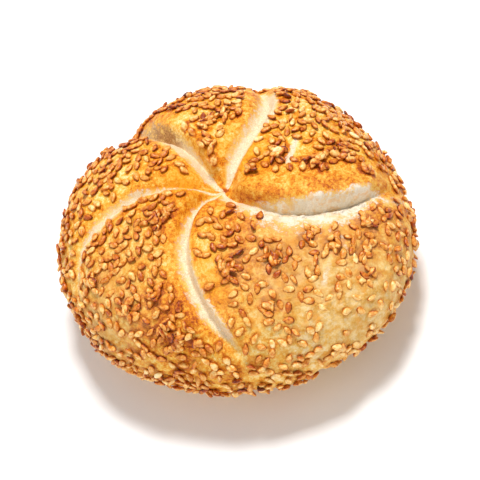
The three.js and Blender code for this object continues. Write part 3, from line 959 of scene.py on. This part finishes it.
class Finish:
    """A material's node tree, with short calls for the nodes that the finishes below use."""

    def __init__(self, name):
        self.material = bpy.data.materials.new(name)
        self.material.use_nodes = True
        self.tree = self.material.node_tree
        self.shader = self.tree.nodes["Principled BSDF"]
        self.places = self.tree.nodes.new("ShaderNodeTexCoord").outputs["Object"]

    def link(self, value, socket):
        """Puts a number, a colour or another node's output into a socket."""
        if isinstance(value, bpy.types.NodeSocket):
            self.tree.links.new(value, socket)
        else:
            socket.default_value = value

    def give(self, name, value):
        """Puts a value into one of the shader's sockets."""
        self.link(value, self.shader.inputs[name])

    def noise(self, wavelength, detail=3, roughness=0.55, places=None):
        """Cloudy noise whose lumps are about a wavelength, in millimetres, across."""
        node = self.tree.nodes.new("ShaderNodeTexNoise")
        self.link(places or self.places, node.inputs["Vector"])
        node.inputs["Scale"].default_value = 1 / (wavelength * MM)
        node.inputs["Detail"].default_value = detail
        node.inputs["Roughness"].default_value = roughness
        return node.outputs["Fac"]

    def share(self, name):
        """A number stored on the mesh."""
        node = self.tree.nodes.new("ShaderNodeAttribute")
        node.attribute_name = name
        return node.outputs["Fac"]

    def streaks(self, first, first_step, second, second_step):
        """Noise drawn out along the second of two stored lengths, in millimetres."""
        node = self.tree.nodes.new("ShaderNodeCombineXYZ")
        self.link(self.math("MULTIPLY", first, MM / first_step), node.inputs["X"])
        self.link(self.math("MULTIPLY", second, MM / second_step), node.inputs["Y"])
        return self.noise(1, 3, 0.6, node.outputs["Vector"])

    def math(self, operation, first, second=0.0, third=0.0):
        """Arithmetic on two or three values."""
        node = self.tree.nodes.new("ShaderNodeMath")
        node.operation = operation
        self.link(first, node.inputs[0])
        self.link(second, node.inputs[1])
        self.link(third, node.inputs[2])
        return node.outputs[0]

    def ramp(self, value, low, high, start=0.0, end=1.0):
        """Smoothly maps low to high onto start to end."""
        node = self.tree.nodes.new("ShaderNodeMapRange")
        node.interpolation_type = "SMOOTHSTEP"
        self.link(value, node.inputs["Value"])
        node.inputs["From Min"].default_value = low
        node.inputs["From Max"].default_value = high
        node.inputs["To Min"].default_value = start
        node.inputs["To Max"].default_value = end
        return node.outputs["Result"]

    def scale(self, value, stops):
        """Screen colours at stops from 0 to 1, blended in between."""
        node = self.tree.nodes.new("ShaderNodeValToRGB")
        self.link(value, node.inputs["Fac"])
        elements = node.color_ramp.elements
        while len(elements) < len(stops):
            elements.new(0.5)
        for element, (position, colour) in zip(elements, stops):
            element.position = position
            element.color = shade(colour)
        return node.outputs["Color"]

    def mix(self, share, first, second):
        """Blends two colours by a share."""
        node = self.tree.nodes.new("ShaderNodeMix")
        node.data_type = "RGBA"
        sockets = [socket for socket in node.inputs if socket.enabled]
        for value, socket in zip((share, first, second), sockets):
            self.link(value, socket)
        return [socket for socket in node.outputs if socket.enabled][0]

    def blend(self, share, colours):
        """Blends a pair of screen colours by a share."""
        return self.mix(share, *[shade(colour) for colour in colours])

    def bump(self, height, distance, normal=None):
        """Bumps of a height, in millimetres."""
        node = self.tree.nodes.new("ShaderNodeBump")
        self.link(height, node.inputs["Height"])
        node.inputs["Distance"].default_value = distance * MM
        if normal is not None:
            self.link(normal, node.inputs["Normal"])
        return node.outputs["Normal"]


def shade(colour):
    """A colour given as it looks on a screen, from 0 to 255, turned into light."""
    screen = np.array(colour) / 255
    light = np.where(screen <= 0.04045, screen / 12.92, ((screen + 0.055) / 1.055) ** 2.4)
    return (*light.tolist(), 1.0)


def crust_finish():
    """Golden crust: a scale of baking from pale dough to brown, speckled, with bare crumb,
    painted light on the torn wall and painted shade on another groove's wall.
    """
    finish = Finish("golden_crust")
    pale, bake, wall_shade = finish.share("pale"), finish.share("bake"), finish.share("wall_shade")
    broad = finish.noise(9, 3)
    mottle = finish.noise(2.8, 4, 0.6)
    speckle = finish.noise(1.0, 5, 0.75)
    fine = finish.noise(0.45, 4, 0.7)

    level = bake
    for cloud, low, high, share in (
        (broad, 0.3, 0.7, 0.16), (mottle, 0.35, 0.65, 0.22),
        (speckle, 0.38, 0.62, 0.36), (fine, 0.4, 0.6, 0.16),
    ):
        level = finish.math("MULTIPLY_ADD", finish.ramp(cloud, low, high), share, level)
    level = finish.math("SUBTRACT", level, 0.47)
    body = finish.scale(level, BAKING_COLOURS)
    wheat_share = finish.share("wheat")
    wheat = finish.blend(finish.ramp(mottle, 0.35, 0.65), WHEAT_COLOURS)
    body = finish.mix(finish.math("MULTIPLY", wheat_share, 0.6), body, wheat)
    amber = finish.ramp(speckle, 0.35, 0.65, 0.75, 0.5)
    amber = finish.math("MULTIPLY", finish.share("golden"), amber)
    body = finish.mix(amber, body, shade(AMBER_COLOUR))
    smudge = finish.ramp(finish.noise(4.5, 3, 0.6), 0.52, 0.66, 0, 0.6)
    smudge = finish.math("MULTIPLY", smudge, wheat_share)
    body = finish.mix(smudge, body, shade(SMUDGE_COLOUR))

    grain = finish.ramp(fine, 0.35, 0.65)
    stretch = finish.streaks(finish.share("way"), 2.6, finish.share("across"), 6)
    torn = finish.share("torn")
    crumb = finish.blend(grain, CRUMB_COLOURS)
    crumb = finish.mix(finish.ramp(mottle, 0.45, 0.65, 0, 0.55), crumb, shade(CLOUDY_COLOUR))
    # Whiter crumb on the torn wall, partly painted light
    crumb = finish.mix(finish.math("MULTIPLY", torn, 0.5), crumb, shade(TORN_WHITE_AND_LIGHT_COLOUR))
    stained = finish.ramp(finish.noise(3.4, 4, 0.65), 0.5, 0.62, 0, 0.55)
    crumb = finish.mix(finish.math("MULTIPLY", torn, stained), crumb, shade(STAINED_COLOUR))
    strand = finish.math("MULTIPLY", finish.ramp(stretch, 0.35, 0.65, 0.3, 0), torn)
    crumb = finish.mix(strand, crumb, shade(STRAND_COLOUR))
    # Painted shade mixed into the crumb on that groove's wall
    crumb = finish.mix(wall_shade, crumb, finish.blend(grain, WALL_SHADE_COLOURS))
    pores = finish.ramp(finish.noise(0.6, 2, 0.5), 0.3, 0.36, 0.3, 0)
    crumb = finish.mix(pores, crumb, shade(PORE_COLOUR))

    rag = finish.math("MULTIPLY", torn, finish.ramp(stretch, 0.35, 0.65, -0.14, 0.14))
    rag = finish.math("ADD", finish.ramp(speckle, 0.3, 0.7, -0.34, 0.34), rag)
    rag = finish.math("ADD", finish.ramp(mottle, 0.36, 0.64, -0.24, 0.24), rag)
    ragged = finish.math("MULTIPLY_ADD", rag, finish.ramp(pale, 0, 0.3), pale)
    bare = finish.ramp(ragged, 0.25, 0.8)
    finish.give("Base Color", finish.mix(bare, body, crumb))

    finish.give("Roughness", finish.math("MULTIPLY_ADD", bare, 0.3, 0.45))
    finish.give("Specular IOR Level", 0.2)
    marks = finish.math("MULTIPLY", finish.ramp(stretch, 0.3, 0.7), torn)
    normal = finish.bump(marks, 0.14)
    normal = finish.bump(mottle, 0.55, normal)
    normal = finish.bump(speckle, 0.4, normal)
    normal = finish.bump(finish.noise(0.3, 2), 0.1, normal)
    finish.give("Normal", normal)
    return finish.material


def seed_finish():
    """Toasted sesame: cream to red-brown by each seed's tone, with a darker rim and base, partly
    browner and partly painted shade along the edge.
    """
    finish = Finish("toasted_sesame")
    tone, rim = finish.share("tone"), finish.share("rim")
    cloud = finish.noise(1.3, 4, 0.65)
    # The rim rings are darkened: a browner edge together with painted shade
    level = finish.math("MULTIPLY_ADD", finish.ramp(rim, 0.8, 1.0), 0.3, tone)
    level = finish.math("ADD", level, finish.ramp(cloud, 0.35, 0.65, -0.2, 0.14))
    finish.give("Base Color", finish.scale(level, SEED_COLOURS))
    finish.give("Roughness", 0.32)
    finish.give("Specular IOR Level", 0.42)
    finish.give("Normal", finish.bump(cloud, 0.3))
    return finish.material


def floor_finish():
    """Plain pale floor."""
    finish = Finish("pale_floor")
    finish.give("Base Color", (0.92, 0.92, 0.92, 1))
    finish.give("Roughness", 0.8)
    return finish.material


def make_floor():
    """A flat square floor under the roll."""
    corners = np.array([[-1, -1, 0], [1, -1, 0], [1, 1, 0], [-1, 1, 0]]) * FLOOR_REACH
    floor = fill_mesh("floor", corners - [0, 0, FLOOR_DROP], [[0, 1, 2, 3]])
    floor.data.materials.append(floor_finish())


def stand(name, data, axes, place):
    """Makes an object of a camera or lamp, which looks back along its third axis."""
    thing = bpy.data.objects.new(name, data)
    bpy.context.scene.collection.objects.link(thing)
    matrix = np.eye(4)
    matrix[:3, :3] = np.column_stack(axes)
    matrix[:3, 3] = place
    thing.matrix_world = Matrix(matrix.tolist())
    return thing


def make_camera():
    """Camera on the line of sight, turned about it by the roll."""
    elevation = CAMERA_ELEVATION * DEGREE
    roll = CAMERA_ROLL * DEGREE
    back = np.array([0, -math.cos(elevation), math.sin(elevation)])
    right = np.array([1.0, 0, 0])
    up = np.cross(back, right)
    turned_right = right * math.cos(roll) + up * math.sin(roll)
    turned_up = up * math.cos(roll) - right * math.sin(roll)
    data = bpy.data.cameras.new("camera")
    data.sensor_width = SENSOR_WIDTH
    data.lens = FOCAL_PIXELS / PICTURE_PIXELS * SENSOR_WIDTH
    data.clip_start = CAMERA_CLIP
    place = np.array(CAMERA_TARGET) + back * CAMERA_DISTANCE
    camera = stand("camera", data, (turned_right, turned_up, back), place)
    bpy.context.scene.camera = camera


def make_lamp(name, place, size, power):
    """A square soft lamp that faces the middle of the roll."""
    data = bpy.data.lights.new(name, "AREA")
    data.size = size
    data.energy = power
    aim = np.array(place) - np.array(LAMP_AIM)
    aim /= np.linalg.norm(aim)
    side = np.cross(LAMP_GUIDE, aim)
    side /= np.linalg.norm(side)
    stand(name, data, (side, np.cross(aim, side), aim), place)


def make_studio():
    """Pale surroundings and three lamps: over the back, low in front and at the left."""
    world = bpy.data.worlds.new("pale_room")
    world.use_nodes = True
    background = world.node_tree.nodes["Background"]
    background.inputs["Color"].default_value = (1, 1, 1, 1)
    background.inputs["Strength"].default_value = ROOM_LIGHT
    bpy.context.scene.world = world
    for name, (place, size, power) in LAMPS.items():
        make_lamp(name, place, size, power)
    bpy.context.scene.view_settings.view_transform = "Standard"


def main():
    """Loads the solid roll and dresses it."""
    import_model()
    seeds = lay_seeds()
    skin = make_crust(seeds)
    skin.data.materials.append(crust_finish())
    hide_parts("seeded_roll")
    sesame = make_seeds(seeds)
    sesame.data.materials.append(seed_finish())
    for piece in (skin, sesame):
        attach(piece, "root")
    make_floor()
    make_camera()
    make_studio()
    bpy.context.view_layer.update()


main()
